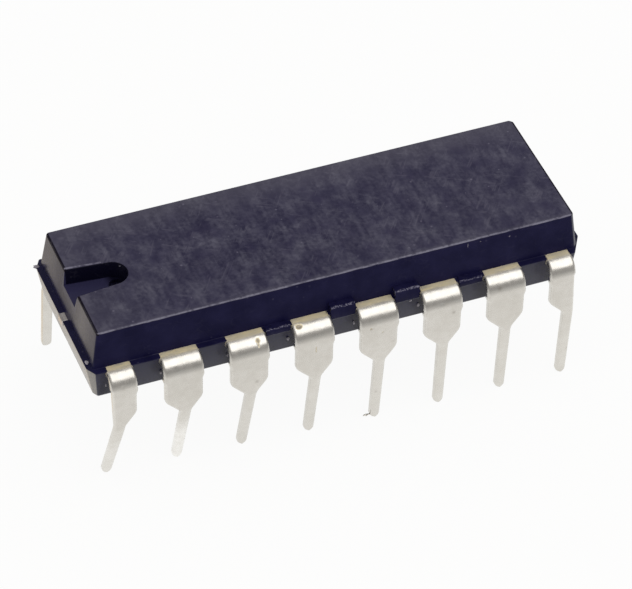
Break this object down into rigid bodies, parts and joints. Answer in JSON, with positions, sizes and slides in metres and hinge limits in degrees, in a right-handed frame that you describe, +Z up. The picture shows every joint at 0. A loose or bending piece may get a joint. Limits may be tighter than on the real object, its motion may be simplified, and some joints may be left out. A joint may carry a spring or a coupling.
{
  "type": "dual in-line integrated circuit",
  "caption": "Dual in-line integrated circuit: a dark moulded plastic package with an index notch and two rows of formed tin-plated leads.",
  "frame": {"origin": "on the plane that the tips of the pins stand on, under the middle of the package", "axes": "+X along the package away from the index notch, +Y across it towards the back row of leads, +Z up out of the top face"},
  "size_m": [0.0196, 0.0083, 0.0071],
  "materials": {
    "mould_compound": "matte, finely pitted from the mould, filled epoxy",
    "tin_plate": "satin tin plate on copper alloy strip",
    "lead_frame_alloy": "satin stamped copper alloy",
    "die_adhesive": "matte silver-filled epoxy",
    "silicon": "polished silicon with a faint circuit pattern",
    "gold_wire": "bright gold wire"
  },
  "bodies": {
    "root": {"moulded_body": "mould_compound", "die_paddle": "lead_frame_alloy", "die_attach": "die_adhesive", "silicon_die": "silicon", "lead_1": "tin_plate", "lead_2": "tin_plate", "lead_3": "tin_plate", "lead_4": "tin_plate", "lead_5": "tin_plate", "lead_6": "tin_plate", "lead_7": "tin_plate", "lead_8": "tin_plate", "lead_9": "tin_plate", "lead_10": "tin_plate", "lead_11": "tin_plate", "lead_12": "tin_plate", "lead_13": "tin_plate", "lead_14": "tin_plate", "lead_15": "tin_plate", "lead_16": "tin_plate", "bond_wire_1": "gold_wire", "bond_wire_2": "gold_wire", "bond_wire_3": "gold_wire", "bond_wire_4": "gold_wire", "bond_wire_5": "gold_wire", "bond_wire_6": "gold_wire", "bond_wire_7": "gold_wire", "bond_wire_8": "gold_wire", "bond_wire_9": "gold_wire", "bond_wire_10": "gold_wire", "bond_wire_11": "gold_wire", "bond_wire_12": "gold_wire", "bond_wire_13": "gold_wire", "bond_wire_14": "gold_wire", "bond_wire_15": "gold_wire", "bond_wire_16": "gold_wire"}
  },
  "joints": []
}
